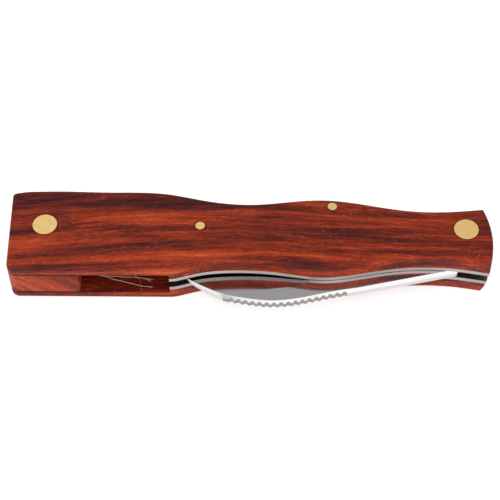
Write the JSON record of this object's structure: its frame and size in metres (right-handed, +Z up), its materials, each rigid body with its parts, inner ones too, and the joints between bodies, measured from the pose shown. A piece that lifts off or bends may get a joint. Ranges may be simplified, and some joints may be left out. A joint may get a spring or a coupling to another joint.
{
  "type": "folding grafting knife",
  "caption": "Folding grafting knife with a humped notched blade in a waisted wooden handle, steel liners, brass rivets and a fold-away bristle brush.",
  "frame": {"origin": "on the back scale's outer face, which the knife lies on, at the handle's mid length, on the datum line from which the heights of both edges are measured", "axes": "+X runs along the handle from the brush end to the blade's pivot, +Y from the mouth edge to the back edge, +Z up through the thickness"},
  "size_m": [0.118, 0.0317, 0.0118],
  "materials": {
    "handle_wood": "oiled red rosewood, satin",
    "liner_steel": "ground stainless sheet",
    "spring_steel": "ground spring steel",
    "blade_steel": "mirror polished stainless steel",
    "rivet_brass": "satin, sanded flush",
    "bristle": "natural pale bristle",
    "staple_wire": "bright wire"
  },
  "bodies": {
    "handle": {"front_scale": "handle_wood", "back_scale": "handle_wood", "front_liner": "liner_steel", "back_liner": "liner_steel", "pocket_spacer": "handle_wood", "back_spring": "spring_steel", "blade_rivet_tube": "rivet_brass", "blade_rivet_shank": "rivet_brass", "brush_rivet_tube": "rivet_brass", "brush_rivet_shank": "rivet_brass", "spring_middle_pin": "rivet_brass", "spring_anchor_pin": "rivet_brass"},
    "blade": {"blade": "blade_steel"},
    "brush": {"brush_block": "handle_wood", "bristle_tufts": "bristle", "tuft_anchors": "staple_wire"}
  },
  "joints": [
    {"name": "blade_hinge", "type": "hinge", "parent": "handle", "child": "blade", "pos_m": [0.05263, 0.00106, 0.0059], "axis": [0, 0, 1], "range_deg": [0, 180]},
    {"name": "brush_hinge", "type": "hinge", "parent": "handle", "child": "brush", "pos_m": [-0.05037, 0.00461, 0.0059], "axis": [0, 0, -1], "range_deg": [0, 180]}
  ]
}
